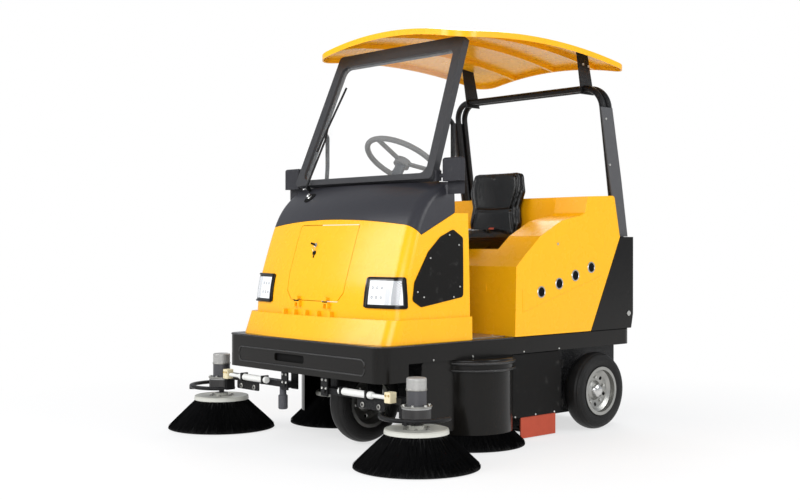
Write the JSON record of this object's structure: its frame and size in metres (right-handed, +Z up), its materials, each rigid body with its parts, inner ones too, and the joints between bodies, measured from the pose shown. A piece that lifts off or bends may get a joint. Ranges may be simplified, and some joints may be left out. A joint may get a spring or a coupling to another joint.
{
  "type": "compact road sweeper",
  "caption": "Ride-on sweeper with a roofed open cab, steered front wheel, disc brushes at its front and sides, a roller brush and a dirt tray.",
  "frame": {"origin": "middle of the machine's box on the floor", "axes": "+X to the machine's left, -Y forwards, +Z up"},
  "size_m": [1.854, 1.866, 1.866],
  "materials": {
    "yellow_body": "moulded gloss",
    "black_base": "moulded gloss",
    "dark_dash": "satin",
    "black_steel": "powder coat",
    "floor_metal": "rolled tread",
    "battery": "plain",
    "bristle": "bristles on a pale disc",
    "motor_steel": "painted",
    "tyre_rubber": "rubber",
    "rim_steel": "zinc plated",
    "flap_rubber": "rubber sheet",
    "screen_glass": "clear",
    "lamp": "clear lens on black",
    "rear_lamp": "red lens",
    "leather": "grained black",
    "wheel_grip": "moulded grip"
  },
  "bodies": {
    "chassis": {"rear_axle": "black_steel", "chassis_base": "black_base", "floor_plate": "floor_metal", "lower_frame": "black_steel", "battery_block": "battery", "arm_brackets": "black_steel", "mid_brush_mounts": "motor_steel", "brush_covers": "black_base", "door_hinges": "black_steel", "cab_shell": "yellow_body", "head_lamps": "lamp", "cab_side_panels": "dark_dash", "dash": "dark_dash", "windscreen_frame": "black_steel", "windscreen_glass": "screen_glass", "wiper": "black_steel", "mirrors": "black_base", "grab_rails": "black_steel", "steering_column": "dark_dash", "pedals": "black_steel", "rear_box": "yellow_body", "rear_shell": "black_base", "column_covers": "black_base", "hoop": "black_steel", "roof": "yellow_body", "seat_cushion": "leather", "seat_back": "leather", "rear_lamps": "rear_lamp"},
    "front_fork": {"front_fork": "black_steel"},
    "front_wheel": {"front_tyre": "tyre_rubber", "front_rim": "rim_steel"},
    "rear_wheel_left": {"rear_tyre_left": "tyre_rubber", "rear_rim_left": "rim_steel"},
    "rear_wheel_right": {"rear_tyre_right": "tyre_rubber", "rear_rim_right": "rim_steel"},
    "steering_wheel": {"steering_wheel": "wheel_grip"},
    "dust_bin": {"dust_bin": "black_steel"},
    "main_brush": {"main_brush": "bristle"},
    "front_hood": {"front_hood": "yellow_body"},
    "side_door_left": {"side_door_left": "black_base", "door_flap_left": "flap_rubber"},
    "side_door_right": {"side_door_right": "black_base", "door_flap_right": "flap_rubber"},
    "brush_arm_left": {"brush_arm_left": "black_steel", "brush_drive_left": "motor_steel"},
    "brush_arm_right": {"brush_arm_right": "black_steel", "brush_drive_right": "motor_steel"},
    "front_brush_left": {"front_brush_left": "bristle"},
    "front_brush_right": {"front_brush_right": "bristle"},
    "mid_brush_left": {"mid_brush_left": "bristle"},
    "mid_brush_right": {"mid_brush_right": "bristle"}
  },
  "joints": [
    {"name": "front_steer", "type": "hinge", "parent": "chassis", "child": "front_fork", "pos_m": [0.096, -0.448, 0.4], "axis": [0, 0, 1], "range_deg": [-60, 60]},
    {"name": "front_wheel_spin", "type": "hinge", "parent": "front_fork", "child": "front_wheel", "pos_m": [0.096, -0.448, 0.18], "axis": [1, 0, 0], "continuous": true},
    {"name": "rear_wheel_left_spin", "type": "hinge", "parent": "chassis", "child": "rear_wheel_left", "pos_m": [0.542, 0.591, 0.18], "axis": [1, 0, 0], "continuous": true},
    {"name": "rear_wheel_right_spin", "type": "hinge", "parent": "chassis", "child": "rear_wheel_right", "pos_m": [-0.542, 0.591, 0.18], "axis": [1, 0, 0], "continuous": true},
    {"name": "steering_wheel_turn", "type": "hinge", "parent": "chassis", "child": "steering_wheel", "pos_m": [0, -0.135, 1.25], "axis": [0, 0.5427, 0.8399], "range_deg": [-360, 360]},
    {"name": "hood_open", "type": "hinge", "parent": "chassis", "child": "front_hood", "pos_m": [0, -0.674, 0.617], "axis": [1, 0, 0], "range_deg": [0, 80]},
    {"name": "side_door_left_open", "type": "hinge", "parent": "chassis", "child": "side_door_left", "pos_m": [0.532, 0.367, 0.24], "axis": [0, 0, 1], "range_deg": [0, 100]},
    {"name": "side_door_right_open", "type": "hinge", "parent": "chassis", "child": "side_door_right", "pos_m": [-0.532, 0.367, 0.24], "axis": [0, 0, -1], "range_deg": [0, 100]},
    {"name": "brush_arm_left_lift", "type": "hinge", "parent": "chassis", "child": "brush_arm_left", "pos_m": [0.14, -0.683, 0.25], "axis": [0, -1, 0], "range_deg": [0, 5]},
    {"name": "brush_arm_right_lift", "type": "hinge", "parent": "chassis", "child": "brush_arm_right", "pos_m": [-0.14, -0.683, 0.25], "axis": [0, 1, 0], "range_deg": [0, 5]},
    {"name": "front_brush_left_spin", "type": "hinge", "parent": "brush_arm_left", "child": "front_brush_left", "pos_m": [0.677, -0.683, 0.1], "axis": [0, 0, 1], "continuous": true},
    {"name": "front_brush_right_spin", "type": "hinge", "parent": "brush_arm_right", "child": "front_brush_right", "pos_m": [-0.677, -0.683, 0.1], "axis": [0, 0, 1], "continuous": true},
    {"name": "mid_brush_left_spin", "type": "hinge", "parent": "chassis", "child": "mid_brush_left", "pos_m": [0.431, -0.148, 0.1], "axis": [0, 0, 1], "continuous": true},
    {"name": "mid_brush_right_spin", "type": "hinge", "parent": "chassis", "child": "mid_brush_right", "pos_m": [-0.431, -0.148, 0.1], "axis": [0, 0, 1], "continuous": true},
    {"name": "main_brush_spin", "type": "hinge", "parent": "chassis", "child": "main_brush", "pos_m": [0, 0.255, 0.133], "axis": [1, 0, 0], "continuous": true},
    {"name": "dust_bin_slide", "type": "slide", "parent": "chassis", "child": "dust_bin", "axis": [0, 1, 0], "range_m": [0, 0.4]}
  ],
  "couplings": [
    {"joint": "steering_wheel_turn", "follows": "front_steer", "ratio": 6}
  ]
}
